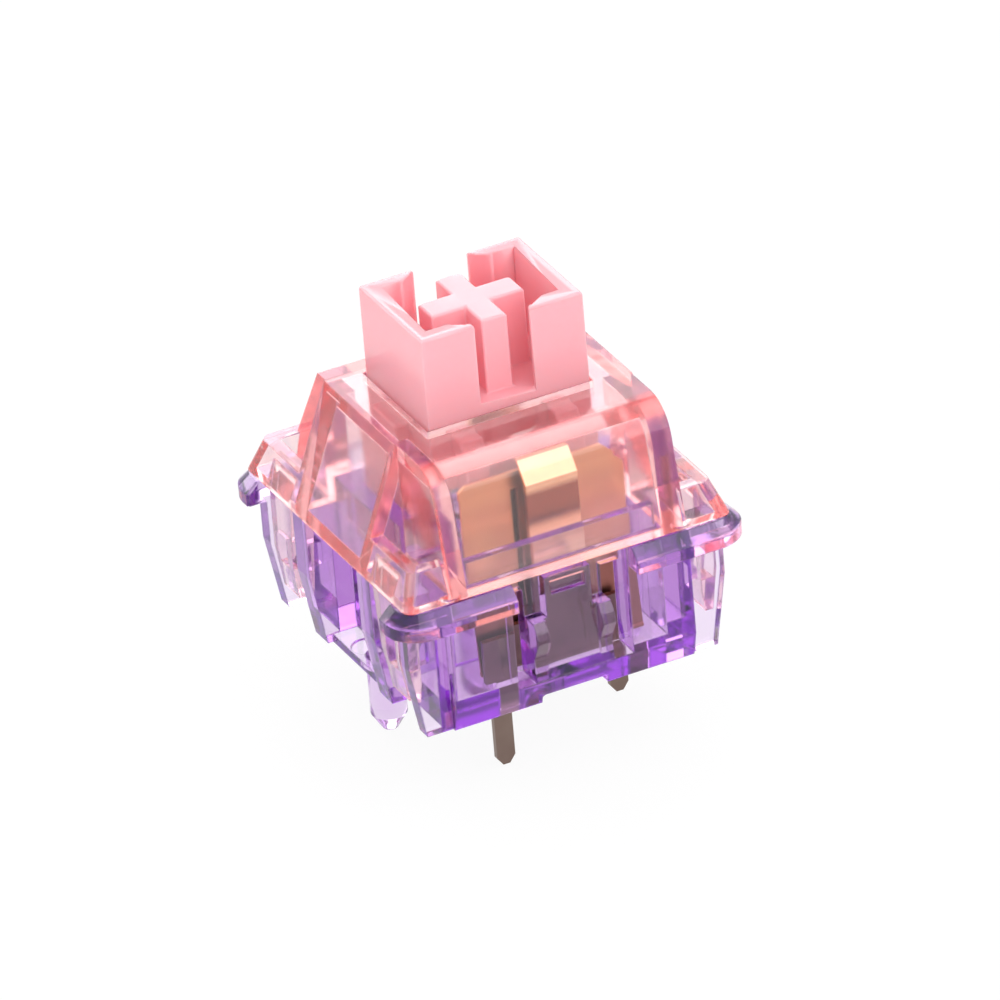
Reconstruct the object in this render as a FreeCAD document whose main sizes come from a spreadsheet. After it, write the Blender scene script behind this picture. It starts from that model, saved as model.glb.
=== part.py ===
import FreeCAD, Part
import math
import os
import re
import Sketcher

# A key switch for a keyboard: a clear cover and a clear base, snapped together round
# a plunger, a coil spring and a pair of contacts.
#
# Frame: origin at the centre of the switch, on the circuit board that it sits on.
# +Z points up to the keycap, -Y to the side of the contacts, +X to the right of that side.
# All sizes are in millimetres.

SIZES = {
    # base, outside
    "base_half": (6.97, "half width of the base where it enters the plate's cut-out"),
    "foot_draft": (0.54, "how much the sides draw in at the circuit board"),
    "taper_top": (3.1, "height where that taper ends"),
    "face_inset": (1.67, "how far the front and back faces end short of the sides"),
    "face_draft": (0.32, "how much those faces draw in at the circuit board"),
    "fin_back": (0.47, "how far the four corner fins stand behind those faces"),
    "fin_wall": (1.17, "thickness of the corners beside the leg slots"),
    "plate_seat": (5.0, "height of the flange's underside, which rests on the plate"),
    "flange_reach": (0.83, "how far the flange stands out"),
    "flange_edge": (0.5, "upright edge of the flange"),
    "flange_bevel": (0.5, "bevel above that edge, each way"),
    "flange_corner": (1.5, "corner radius of the flange"),
    "flange_root": (0.33, "how far the flange's straight bars reach in past its corner radius"),
    "flange_end_gap": (0.08, "distance of the flange's ends from the recesses"),
    "floor_top": (1.0, "thickness of the base's floor"),
    # base, front and back clips
    "clip_recess_half": (2.55, "half width of the recess round the clip"),
    "clip_recess_deep": (0.77, "depth of that recess"),
    "clip_recess_sill": (1.1, "height of the sill under the clip"),
    "clip_half": (1.72, "half width of the clip tongue"),
    "clip_back": (0.17, "how far the tongue stands behind the face"),
    "clip_foot_back": (0.05, "how far the tongue's foot stands behind the face"),
    "clip_foot_rise": (0.6, "height of the slope at the tongue's foot"),
    "clip_shoulder": (3.78, "height of the tongue's shoulders"),
    "clip_neck_half": (1.0, "half width of the tongue's neck"),
    "clip_neck_top": (5.55, "height of the neck"),
    "neck_pocket": (0.25, "depth of the pocket in the tongue's neck"),
    "neck_pocket_half": (0.75, "half width of that pocket"),
    "neck_pocket_low": (4.75, "lower edge of that pocket"),
    "neck_pocket_high": (5.3, "upper edge of that pocket"),
    "lug_width": (0.56, "width of each of the clip's two lugs"),
    "lug_out": (0.38, "how far the lugs stand out of the face"),
    "lug_tip_z": (3.0, "height of the lugs' outermost edge"),
    "lug_low_z": (2.1, "height where the lugs start"),
    "lug_foot": (0.05, "how far the lugs stand out below their start"),
    "lug_top": (0.15, "how far the lugs stand out at the shoulders"),
    "lug_belly": (0.75, "share of their reach that the lugs have between shoulder and tip"),
    "foot_notch_half": (1.45, "half width of the notch under the front edge"),
    "foot_notch_rise": (0.37, "height of that notch"),
    "foot_notch_deep": (0.97, "depth of that notch"),
    # base, sides
    "leg_slot_width": (2.4, "width of the slots for the cover's legs"),
    "leg_slot_deep": (1.37, "depth of those slots"),
    "side_recess_half": (2.3, "half width of the recess in the middle of each side"),
    "side_recess_deep": (1.87, "depth of that recess"),
    "side_sill_rise": (0.36, "height of the sill under that recess"),
    "side_sill_back": (0.77, "how far that sill stands behind the side"),
    "hook_back": (0.47, "how far the hooks for the cover's legs stand behind the side"),
    "hook_low": (2.6, "height of the hooks' flat underside"),
    "hook_rise": (1.0, "height of the hooks' slope"),
    "hook_top": (0.3, "how far the hooks stand out at the top of the slope"),
    "hook_half": (0.35, "half width of the hooks"),
    "sill_mark_width": (1.3, "diameter of the round moulding mark on each sill"),
    "sill_mark_out": (0.38, "distance of that mark's centre from the recess's wall"),
    "sill_mark_y": (0.65, "distance of that mark from the middle, to the back"),
    "mark_deep": (0.06, "depth of the moulding marks"),
    # base, inside
    "guide_rise": (1.2, "how far the guides for the rails stand up out of the base"),
    "guide_root": (1.0, "how far the guides reach down into it"),
    "guide_half": (2.2, "half width of those guides"),
    "chamber_wall_left": (0.7, "wall left of the contact chamber"),
    "chamber_wall_right": (1.2, "wall right of the contact chamber"),
    "chamber_wall_front": (1.32, "wall between the base's rooms and its front and back faces"),
    "chamber_wall_back": (0.45, "wall between the contact chamber and the plunger"),
    "chamber_lip_rise": (1.0, "how far the chamber's front lip stands up out of the base"),
    "chamber_lip_half": (4.15, "half width of that lip"),
    "chamber_lip_wall": (0.4, "thickness of that lip"),
    "back_pocket_wall_near": (0.85, "wall between the plunger and the pocket behind it"),
    "back_pocket_wall_side": (1.2, "wall at each end of that pocket"),
    "tube_outside": (3.4, "diameter of the guide tube in the spring"),
    "tube_top": (4.6, "height of the guide tube"),
    "tube_bore": (2.15, "bore of the guide tube"),
    "bore_end": (0.6, "plastic left under the bore in the centre post"),
    # base, posts
    "post_width": (3.9, "diameter of the centre post"),
    "post_length": (3.3, "length of the centre post below the board"),
    "post_bevel": (0.4, "bevel at the centre post's tip"),
    "peg_width": (1.5, "diameter of the side pegs"),
    "peg_tip_width": (0.65, "diameter of the side pegs' tips"),
    "peg_offset": (5.08, "distance of the side pegs from the middle"),
    "peg_straight": (2.4, "straight length of the side pegs"),
    "peg_tip": (0.7, "length of the side pegs' points"),
    # cover
    "rim_gap": (0.02, "clearance between the cover's rim and the base"),
    "rim_step": (0.23, "how far the cover's rim stands out past the base"),
    "rim_round": (0.5, "corner radius of the rim"),
    "corner_rise": (1.43, "height of the rim's four corners"),
    "corner_draw_in": (0.55, "how far the corners lean in at their top"),
    "corner_wall": (0.6, "wall at the corners"),
    "cover_rise": (5.13, "height of the cover from its rim to its top face"),
    "roof": (0.95, "thickness of the cover's top"),
    "cover_wall": (0.85, "thickness of the cover's walls"),
    "wing_draw_in": (2.0, "how far the side faces lean in at the top"),
    "wing_half": (3.15, "half width of the slanted side faces"),
    "front_inset": (2.05, "how far the front and back faces end short of the rim's sides"),
    "front_lean": (0.2, "how far the front face leans in for each unit of height"),
    "shoulder": (1.6, "radius between the front face and the top face"),
    "back_draw_in": (3.34, "how far the back face leans in at the top"),
    "rim_mark_width": (0.9, "diameter of the moulding marks under the rim"),
    "rim_mark_x": (5.1, "distance of those marks from the middle"),
    "rim_mark_in": (0.6, "distance of those marks from the rim's edge"),
    "leg_gap": (0.15, "clearance beside the cover's legs at the rim"),
    "leg_gap_far": (0.25, "clearance on the legs' straight side"),
    "leg_narrowing": (0.55, "how much the legs narrow to their tips"),
    "leg_tip_straight": (0.7, "height of the narrow part at the legs' tips"),
    "leg_back": (0.05, "how far the legs' faces stand behind the base's side"),
    "leg_root": (0.8, "how far the legs reach up into the rim"),
    "leg_root_in": (0.3, "how far the legs' roots lean in"),
    "leg_thick": (0.72, "thickness of the legs at the rim"),
    "leg_bend_drop": (1.0, "how far below the taper's top the legs' inner faces bend"),
    "leg_tip_thick": (0.35, "thickness of the legs at their tips"),
    "leg_tip_z": (1.25, "height of the legs' tips"),
    "leg_window_half": (0.42, "half width of the window in each leg"),
    "leg_window_low": (2.55, "lower edge of that window"),
    "leg_window_high": (3.9, "upper edge of that window"),
    # plunger
    "stem_wide": (7.1, "width of the plunger's box"),
    "stem_deep": (5.5, "depth of the plunger's box"),
    "stem_drop": (2.0, "how far the plunger's block reaches below the cover's roof"),
    "stem_thick": (3.3, "height of that block up to its floor"),
    "stem_rise": (3.6, "height of the box's walls above the floor"),
    "side_wall": (0.62, "thickness of the box's side walls"),
    "end_wall": (0.67, "thickness of the box's front and back walls"),
    "slot_half": (1.22, "half width of the slots in those walls"),
    "keycap_relief": (5.7, "diameter of the round relief for the keycap's post"),
    "cross_span": (4.1, "span of the cross that holds the keycap"),
    "cross_front": (1.15, "width of the cross's arm that runs front to back"),
    "cross_side": (1.3, "width of the cross's arm that runs side to side"),
    "cross_drop": (0.33, "how far the cross's top lies below the walls' top"),
    "cross_bevel": (0.12, "bevel round the cross's top"),
    "stem_gap": (0.1, "clearance round the plunger"),
    "rail_reach": (0.7, "how far the plunger's rails stand out"),
    "rail_half": (1.1, "half width of the rails"),
    "rail_end_gap": (0.4, "clearance under the rails at the end of the travel"),
    "rail_gap": (0.05, "clearance between the rails' top and the cover's roof"),
    "cheek": (0.8, "thickness of the plunger's side plates"),
    "cheek_half": (2.3, "half width of the side plates"),
    "finger_near": (1.6, "inner side of the two cam fingers"),
    "finger_far": (2.6, "outer side of the two cam fingers"),
    "finger_drop": (0.6, "how far the fingers reach below the leaf's bumps"),
    "finger_rise": (1.8, "how far the fingers reach up on the plunger's block"),
    "finger_gap": (0.15, "clearance beside and under the fingers"),
    "cam_reach": (1.15, "how far the cam stands out of the plunger at the height of the bumps"),
    "pole_width": (1.95, "diameter of the plunger's pole"),
    "pole_tip_width": (1.3, "diameter of the pole's tip"),
    "pole_tip_rise": (0.33, "height of the bevel at the pole's tip"),
    "travel": (3.6, "full travel of the plunger"),
    "bottom_gap": (0.05, "clearance under the pole at the end of the travel"),
    # spring
    "spring_width": (4.4, "outer diameter of the coil spring"),
    "spring_wire": (0.28, "width of its wire, which has six flats"),
    "spring_turns": (9, "number of its turns"),
    "pocket_deep": (0.8, "depth of the pocket for it in the plunger"),
    "pocket_gap": (0.2, "clearance round it in that pocket"),
    "spring_gap": (0.02, "clearance at each end of it"),
    # contacts
    "sheet": (0.25, "thickness of the terminals' sheet metal"),
    "pin_width": (0.8, "width of the solder pins"),
    "pin_length": (3.14, "length of the solder pins below the board"),
    "pin_point": (0.34, "length of the pins' points"),
    "pin_tip": (0.3, "width of the pins' tips"),
    "pin_gap": (0.05, "clearance round the pins in the floor"),
    "pin_left_x": (2.54, "distance of the leaf's pin from the middle, to the left"),
    "pin_left_y": (5.08, "distance of the leaf's pin from the middle, to the front"),
    "pin_right_x": (3.81, "distance of the fixed pin from the middle, to the right"),
    "pin_right_y": (2.54, "distance of the fixed pin from the middle, to the front"),
    "seat_gap": (0.02, "clearance between the terminals and the floor"),
    "bar_rise": (0.78, "height of the fixed terminal's foot bar"),
    "tongue_half": (1.2, "half width of the fixed terminal's tongue"),
    "tongue_top": (8.0, "height of that tongue"),
    "carrier_left": (3.4, "left end of the leaf's carrier plate"),
    "carrier_right": (3.0, "right end of the leaf's carrier plate"),
    "carrier_top": (2.9, "height of the leaf's carrier plate"),
    "strip_left": (0.88, "left side of the upright strip on that plate"),
    "strip_right": (1.38, "right side of that strip"),
    "strip_gap": (0.45, "clearance between the strip's top and the cover's ceiling"),
    "strip_bent": (0.75, "height of the part at its top that is bent back"),
    "strip_draw_back": (0.6, "how far its top is bent back"),
    "leaf_sheet": (0.12, "thickness of the leaf"),
    "leaf_left": (3.4, "left end of the leaf"),
    "leaf_right": (3.75, "right end of the leaf"),
    "leaf_foot_in": (0.3, "distance of the leaf's fold from the carrier plate's middle"),
    "leaf_foot_z": (1.3, "height of the leaf's fold"),
    "leaf_fold": (0.12, "radius of the leaf's fold"),
    "leaf_bend_drop": (1.0, "how far below the bumps the leaf bends upright"),
    "leaf_gap": (1.0, "clearance between the leaf's top and the cover's ceiling"),
    "leaf_corner": (0.9, "size of its cut upper corners"),
    "leaf_swing": (0.36, "how far the leaf swings in at its bumps over the full travel"),
    "slit_left": (0.9, "left side of the contact's tongue, where a slit starts"),
    "slit_right": (0.62, "right side of that tongue, where the other slit starts"),
    "slit_width": (0.3, "width of the two slits"),
    "slit_low": (3.4, "lower end of the slits"),
    "slit_end": (0.6, "sheet left above the slits"),
    "bump_z": (6.2, "height of the leaf's bumps"),
    "bump_half": (0.35, "half width of the leaf's bumps"),
    "bump_round": (0.3, "radius of the leaf's bumps"),
    "bump_stand": (0.35, "how far the bumps stand out of the leaf"),
    "bump_gap": (0.04, "clearance between the bumps and the cams"),
    "contact_z": (7.2, "height of the contact points"),
    "contact_long": (1.0, "length of the contact points"),
    "contact_wide": (0.3, "width of the contact points"),
    "contact_thick": (0.17, "thickness of the contact points"),
}

doc = FreeCAD.newDocument("KeySwitch")
sheet = doc.addObject("Spreadsheet::Sheet", "Sizes")
for row, (alias, (value, meaning)) in enumerate(SIZES.items(), start=1):
    sheet.set(f"A{row}", meaning)
    sheet.set(f"B{row}", str(value))
    sheet.setAlias(f"B{row}", alias)
doc.recompute()


# Formulas over the sheet

def bind(item, prop, formula):
    """Ties a property to a formula over the sheet's aliases."""
    named = re.sub(r"[a-z_]+", lambda m: "Sizes." + m[0] if m[0] in SIZES else m[0], str(formula))
    item.setExpression(prop, named)


def minus(formula):
    return f"-({formula})"


def both_ways(half):
    """The span from -half to +half."""
    return (minus(half), half)


# Solids and the ways to join them

def box(name, x, y, z):
    """A block between two formulas along each axis."""
    solid = doc.addObject("Part::Box", name)
    for side, place, (low, high) in zip(("Length", "Width", "Height"), "xyz", (x, y, z)):
        bind(solid, side, f"({high}) - ({low})")
        bind(solid, f"Placement.Base.{place}", low)
    return solid


def tapered(name, foot, top, z):
    """A block whose foot and top are rectangles (x low, x high, y low, y high)."""
    solid = doc.addObject("Part::Wedge", name)
    solid.Placement = FreeCAD.Placement(
        FreeCAD.Vector(0, 0, 0), FreeCAD.Rotation(FreeCAD.Vector(1, 0, 0), 90))
    bind(solid, "Ymin", z[0])
    bind(solid, "Ymax", z[1])
    bind(solid, "Xmin", foot[0])
    bind(solid, "Xmax", foot[1])
    bind(solid, "Zmin", minus(foot[3]))
    bind(solid, "Zmax", minus(foot[2]))
    bind(solid, "X2min", top[0])
    bind(solid, "X2max", top[1])
    bind(solid, "Z2min", minus(top[3]))
    bind(solid, "Z2max", minus(top[2]))
    return solid


def post(name, width, z, x="0", y="0"):
    """An upright cylinder of a given diameter."""
    solid = doc.addObject("Part::Cylinder", name)
    bind(solid, "Radius", f"({width}) / 2")
    bind(solid, "Height", f"({z[1]}) - ({z[0]})")
    bind(solid, "Placement.Base.x", x)
    bind(solid, "Placement.Base.y", y)
    bind(solid, "Placement.Base.z", z[0])
    return solid


def cone(name, low_width, high_width, z, x="0", y="0"):
    """An upright cone between two diameters."""
    solid = doc.addObject("Part::Cone", name)
    bind(solid, "Radius1", f"({low_width}) / 2")
    bind(solid, "Radius2", f"({high_width}) / 2")
    bind(solid, "Height", f"({z[1]}) - ({z[0]})")
    bind(solid, "Placement.Base.x", x)
    bind(solid, "Placement.Base.y", y)
    bind(solid, "Placement.Base.z", z[0])
    return solid


def roller(name, radius, x, y, z):
    """A cylinder that lies along X."""
    solid = doc.addObject("Part::Cylinder", name)
    solid.Placement = FreeCAD.Placement(
        FreeCAD.Vector(0, 0, 0), FreeCAD.Rotation(FreeCAD.Vector(0, 1, 0), 90))
    bind(solid, "Radius", radius)
    bind(solid, "Height", f"({x[1]}) - ({x[0]})")
    bind(solid, "Placement.Base.x", x[0])
    bind(solid, "Placement.Base.y", y)
    bind(solid, "Placement.Base.z", z)
    return solid


PLANES = {
    "XZ": (FreeCAD.Rotation(FreeCAD.Vector(1, 0, 0), 90), FreeCAD.Vector(0, 1, 0), "y"),
    "YZ": (FreeCAD.Rotation(FreeCAD.Vector(1, 1, 1), 120), FreeCAD.Vector(1, 0, 0), "x"),
}


def draw_outline(sketch, corners):
    """A closed polygon, each corner fixed by two formulas."""
    count = len(corners)
    ring = [
        FreeCAD.Vector(math.cos(2 * math.pi * i / count), math.sin(2 * math.pi * i / count), 0)
        for i in range(count)
    ]
    for i in range(count):
        sketch.addGeometry(Part.LineSegment(ring[i], ring[(i + 1) % count]))
    for i in range(count):
        sketch.addConstraint(Sketcher.Constraint("Coincident", i, 2, (i + 1) % count, 1))
    for i, (across, up) in enumerate(corners):
        for kind, formula, start in (("DistanceX", across, ring[i].x), ("DistanceY", up, ring[i].y)):
            number = sketch.addConstraint(Sketcher.Constraint(kind, -1, 1, i, 1, start))
            bind(sketch, f"Constraints[{number}]", formula)


def prism(name, plane, corners, span):
    """A sketched outline drawn out across its plane."""
    turn, along, place = PLANES[plane]
    sketch = doc.addObject("Sketcher::SketchObject", name + "_outline")
    sketch.Placement = FreeCAD.Placement(FreeCAD.Vector(0, 0, 0), turn)
    draw_outline(sketch, corners)
    bind(sketch, f"Placement.Base.{place}", span[0])
    solid = doc.addObject("Part::Extrusion", name)
    solid.Base = sketch
    solid.DirMode = "Custom"
    solid.Dir = along
    solid.Solid = True
    bind(solid, "LengthFwd", f"({span[1]}) - ({span[0]})")
    return solid


def fuse(name, *pieces):
    joined = doc.addObject("Part::MultiFuse", name)
    joined.Shapes = list(pieces)
    joined.Refine = True
    return joined


def common(name, *pieces):
    shared = doc.addObject("Part::MultiCommon", name)
    shared.Shapes = list(pieces)
    return shared


def cut(name, base, *tools):
    rest = doc.addObject("Part::Cut", name)
    rest.Base = base
    rest.Tool = tools[0] if len(tools) == 1 else fuse(name + "_tools", *tools)
    rest.Refine = True
    return rest


def mirrored(name, source, axis):
    twin = doc.addObject("Part::Mirroring", name)
    twin.Source = source
    twin.Normal = {"x": FreeCAD.Vector(1, 0, 0), "y": FreeCAD.Vector(0, 1, 0)}[axis]
    return twin


def in_pair(name, source, axis):
    """The solid and its mirror image across the middle."""
    return fuse(name, source, mirrored(name + "_twin", source, axis))


def at_four(name, source):
    """The solid at all four corners."""
    return in_pair(name, in_pair(name + "_side", source, "x"), "y")


# Places that more than one piece shares

DEEP = "20"
PAST = "1"
LAP = "0.1"

BASE_TOP = "(plate_seat + flange_edge + flange_bevel)"
FIN_FACE = "(base_half - fin_back)"
CLIP_WALL = "(base_half - clip_recess_deep)"
CLIP_FACE = "(base_half - clip_back)"
LUG_TIP = "(base_half + lug_out)"
LEG_SLOT_WALL = "(base_half - leg_slot_deep)"
LEG_SLOT_FAR = "(base_half - fin_wall)"
LEG_SLOT_NEAR = "(base_half - fin_wall - leg_slot_width)"
SIDE_WALL = "(base_half - side_recess_deep)"
ROOM_FRONT = "(base_half - chamber_wall_front)"
ROOM_LEFT = "(base_half - leg_slot_deep - chamber_wall_left)"
ROOM_RIGHT = "(base_half - leg_slot_deep - chamber_wall_right)"
ROOM_BACK = "(stem_deep / 2 + chamber_wall_back)"

RIM_LOW = f"({BASE_TOP} + rim_gap)"
RIM_HALF = "(base_half + rim_step)"
CORNER_TOP = f"({RIM_LOW} + corner_rise)"
COVER_TOP = f"({RIM_LOW} + cover_rise)"
CEILING = f"({COVER_TOP} - roof)"
FRONT_HALF = f"({RIM_HALF} - front_inset)"
LEAN_LENGTH = "sqrt(1 + front_lean * front_lean)"
LEG_FACE = "(base_half - leg_back)"
LEG_NEAR = f"({LEG_SLOT_NEAR} + leg_gap)"
LEG_TIP_NEAR = f"({LEG_NEAR} + leg_narrowing)"
LEG_FAR = f"({LEG_SLOT_FAR} - leg_gap_far)"
LEG_MIDDLE = f"(({LEG_TIP_NEAR} + {LEG_FAR}) / 2)"

STEM_HALF = "(stem_wide / 2)"
STEM_FRONT = "(stem_deep / 2)"
STEM_LOW = f"({CEILING} - stem_drop)"
STEM_FLOOR = f"({STEM_LOW} + stem_thick)"
STEM_TOP = f"({STEM_FLOOR} + stem_rise)"
RAIL_SIDE = f"({STEM_HALF} + rail_reach)"
RAIL_LOW = "(floor_top + travel + rail_end_gap)"
FINGER_LOW = "(bump_z - finger_drop)"
FINGER_HIGH = f"({STEM_LOW} + finger_rise)"
FINGER_MIDDLE = "((finger_near + finger_far) / 2)"
CAM_REACH = f"({STEM_FRONT} + cam_reach)"
CAM_SLOPE = "(leaf_swing / travel)"
SPRING_CEILING = f"({STEM_LOW} + pocket_deep)"

PIN_LEFT = ("-pin_left_x", "-pin_left_y")
PIN_RIGHT = ("pin_right_x", "-pin_right_y")
PIN_TOP = "(floor_top + seat_gap)"
FIXED_PLATE = (f"-({ROOM_BACK} + pin_gap + sheet)", f"-({ROOM_BACK} + pin_gap)")
LEAF_FACE = f"({CAM_REACH} + bump_gap + bump_stand)"
LEAF_FOOT = "(pin_left_y - leaf_foot_in)"
LEAF_TOP = f"({CEILING} - leaf_gap)"


def cam_at(z):
    """How far the cam fingers reach to the front at one height."""
    return f"-({CAM_REACH} - ({z} - bump_z) * {CAM_SLOPE})"


# Lower housing

def flange_corner():
    """One corner of the flange: two short bars with a bevel, and the round between them."""
    reach = "(base_half + flange_reach)"
    centre = f"({reach} - flange_corner)"
    root = f"({centre} - flange_root)"
    edge = "(plate_seat + flange_edge)"
    profile = [
        (root, "plate_seat"),
        (reach, "plate_seat"),
        (reach, edge),
        (f"{reach} - flange_bevel", BASE_TOP),
        (root, BASE_TOP),
    ]
    side_bar = prism("flange_side_bar", "XZ", profile, (f"{LEG_SLOT_FAR} + flange_end_gap", centre))
    front_bar = prism("flange_front_bar", "YZ", profile,
                      ("clip_recess_half + flange_end_gap", centre))
    core = box("flange_core", (root, centre), (root, centre), ("plate_seat", BASE_TOP))
    disc = post("flange_disc", "2 * flange_corner", ("plate_seat", edge), centre, centre)
    bevel = cone("flange_bevel_round", "2 * flange_corner",
                 "2 * (flange_corner - flange_bevel)", (edge, BASE_TOP), centre, centre)
    return fuse("flange_corner_piece", side_bar, front_bar, core, disc, bevel)


def clip():
    """The front clip: a recess with a tongue and two lugs that snap under the plate."""
    root = f"-({CLIP_WALL} - {LAP})"
    face = f"-{CLIP_FACE}"
    foot = "-(base_half - clip_foot_back)"
    recess = box("clip_recess", both_ways("clip_recess_half"),
                 (f"-({RIM_HALF} + {PAST})", f"-{CLIP_WALL}"), ("clip_recess_sill", DEEP))
    slit = box("clip_slit", ("clip_half", "clip_recess_half"),
               (f"-({CLIP_WALL} + {LAP})", f"-({ROOM_FRONT} - {LAP})"),
               ("clip_recess_sill", "plate_seat"))
    tongue = prism("clip_tongue", "YZ", [
        (root, f"clip_recess_sill - {LAP}"),
        (foot, f"clip_recess_sill - {LAP}"),
        (foot, "clip_recess_sill"),
        (face, "clip_recess_sill + clip_foot_rise"),
        (face, "clip_shoulder"),
        (root, "clip_shoulder"),
    ], both_ways("clip_half"))
    neck = cut("clip_neck", box(
        "clip_neck_bar", both_ways("clip_neck_half"), (face, root),
        (f"clip_shoulder - {LAP}", "clip_neck_top")), box(
        "clip_neck_pocket", both_ways("neck_pocket_half"),
        (f"{face} - {PAST}", f"{face} + neck_pocket"), ("neck_pocket_low", "neck_pocket_high")))
    lug = prism("clip_lug", "YZ", [
        (root, "clip_shoulder"),
        (f"{face} - lug_top", "clip_shoulder"),
        (f"{face} - ({LUG_TIP} - {CLIP_FACE}) * lug_belly", "(clip_shoulder + lug_tip_z) / 2"),
        (f"-{LUG_TIP}", "lug_tip_z"),
        (f"{face} - lug_foot", "lug_low_z"),
        (f"{face} - lug_foot", "clip_recess_sill"),
        (root, "clip_recess_sill"),
    ], ("clip_half - lug_width", "clip_half"))
    return recess, in_pair("clip_slits", slit, "x"), [tongue, neck, in_pair("clip_lugs", lug, "x")]


def base_outside():
    foot = both_ways("(base_half - foot_draft)")
    face_foot = both_ways("(base_half - face_draft)")
    side = both_ways("base_half")
    fins = both_ways(FIN_FACE)
    face = both_ways("(base_half - face_inset)")
    lower = tapered("base_taper", (*foot, *fins), (*side, *fins), ("0", "taper_top"))
    upper = box("base_upright", side, fins, ("taper_top", BASE_TOP))
    face_low = tapered("face_foot_block", (*face, *face_foot), (*face, *side),
                       ("0", "clip_recess_sill"))
    face_high = box("face_block", face, side, ("clip_recess_sill", BASE_TOP))
    flange = at_four("flange", flange_corner())
    return fuse("base_block", lower, upper, face_low, face_high, flange)


def side_cuts():
    leg_slot = box("leg_slot", (LEG_SLOT_WALL, DEEP), (LEG_SLOT_NEAR, LEG_SLOT_FAR),
                   (minus(PAST), DEEP))
    recess = fuse(
        "side_recess",
        box("side_recess_room", (SIDE_WALL, DEEP), both_ways("side_recess_half"),
            ("side_sill_rise", DEEP)),
        box("side_recess_face", ("base_half - side_sill_back", DEEP),
            both_ways("side_recess_half"), (minus(PAST), DEEP)),
        common(
            "side_sill_mark",
            post("sill_mark_round", "sill_mark_width", ("side_sill_rise - mark_deep", DEEP),
                 f"{SIDE_WALL} + sill_mark_out", "sill_mark_y"),
            box("sill_mark_room", (SIDE_WALL, DEEP), both_ways("side_recess_half"),
                ("0", DEEP))))
    return at_four("leg_slots", leg_slot), in_pair("side_recesses", recess, "x")


def lower_housing():
    recess, slits, clip_solids = clip()
    leg_slots, side_recesses = side_cuts()
    shell = cut("base_shell", base_outside(), in_pair("clip_recesses", recess, "y"),
                leg_slots, side_recesses)

    guides = in_pair("rail_guides", box(
        "rail_guide", (STEM_HALF, SIDE_WALL), both_ways("guide_half"),
        (f"{BASE_TOP} - guide_root", f"{BASE_TOP} + guide_rise")), "x")
    lip = box("chamber_lip_bar", both_ways("chamber_lip_half"),
              (f"-({ROOM_FRONT} + chamber_lip_wall)", f"-{ROOM_FRONT}"),
              (f"{BASE_TOP} - {LAP}", f"{BASE_TOP} + chamber_lip_rise"))
    hooks = at_four("leg_hooks", prism("leg_hook", "XZ", [
        (f"{LEG_SLOT_WALL} - {LAP}", "hook_low"),
        ("base_half - hook_back", "hook_low"),
        (f"{LEG_SLOT_WALL} + hook_top", "hook_low + hook_rise"),
        (f"{LEG_SLOT_WALL} - {LAP}", "hook_low + hook_rise"),
    ], (f"{LEG_MIDDLE} - hook_half", f"{LEG_MIDDLE} + hook_half")))
    clips = in_pair("clips", fuse("clip_front", *clip_solids), "y")
    solid = fuse("base_solid", shell, guides, lip, hooks, clips)

    stem_well = box("stem_well", both_ways(f"{STEM_HALF} + stem_gap"),
                    both_ways(f"{STEM_FRONT} + stem_gap"), ("floor_top", DEEP))
    rail_groove = box("rail_groove", both_ways(f"{RAIL_SIDE} + stem_gap"),
                      both_ways("rail_half + stem_gap"), ("floor_top", DEEP))
    chamber = box("contact_chamber", (f"-{ROOM_LEFT}", ROOM_RIGHT),
                  (f"-{ROOM_FRONT}", f"-{ROOM_BACK}"), ("floor_top", DEEP))
    finger_slots = in_pair("finger_slots", box(
        "finger_slot", ("finger_near - finger_gap", "finger_far + finger_gap"),
        (f"-({ROOM_BACK} + {LAP})", f"-{STEM_FRONT}"),
        (f"{FINGER_LOW} - travel - finger_gap", DEEP)), "x")
    terminal_slot = box("terminal_slot",
                        ("pin_right_x - pin_width / 2 - pin_gap",
                         "pin_right_x + pin_width / 2 + pin_gap"),
                        (f"-({ROOM_BACK} + {LAP})", "-(pin_right_y - sheet / 2 - pin_gap)"),
                        ("floor_top", DEEP))
    back_pocket = box("back_pocket",
                      both_ways("(base_half - leg_slot_deep - back_pocket_wall_side)"),
                      (f"{STEM_FRONT} + back_pocket_wall_near", ROOM_FRONT), ("floor_top", DEEP))
    foot_notch = box("foot_notch", both_ways("foot_notch_half"),
                     (f"-(base_half + {PAST})", "-(base_half - foot_notch_deep)"),
                     (minus(PAST), "foot_notch_rise"))
    hollow = cut("base_hollow", solid, stem_well, rail_groove, chamber, finger_slots,
                 terminal_slot, back_pocket, foot_notch, slits,
                 mirrored("clip_slits_back", slits, "y"))

    tube = post("guide_tube", "tube_outside", (f"floor_top - {LAP}", "tube_top"))
    centre = post("centre_post", "post_width", ("-(post_length - post_bevel)", LAP))
    centre_tip = cone("centre_post_tip", "post_width - 2 * post_bevel", "post_width",
                      ("-post_length", "-(post_length - post_bevel)"))
    pegs = in_pair("side_pegs", fuse(
        "side_peg",
        post("peg_shank", "peg_width", ("-peg_straight", LAP), "peg_offset"),
        cone("peg_tip_cone", "peg_tip_width", "peg_width",
             ("-(peg_straight + peg_tip)", "-peg_straight"), "peg_offset")), "x")
    posts = fuse("base_posts", hollow, tube, centre, centre_tip, pegs)
    bore = post("tube_bore_hole", "tube_bore", ("-(post_length - bore_end)", DEEP))
    pin_holes = [
        box(name, (f"{x} - pin_width / 2 - pin_gap", f"{x} + pin_width / 2 + pin_gap"),
            (f"{y} - sheet / 2 - pin_gap", f"{y} + sheet / 2 + pin_gap"),
            (minus(PAST), f"floor_top + {LAP}"))
        for name, (x, y) in (("pin_hole_left", PIN_LEFT), ("pin_hole_right", PIN_RIGHT))
    ]
    return cut("base", posts, bore, *pin_holes)


# Upper housing

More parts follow.
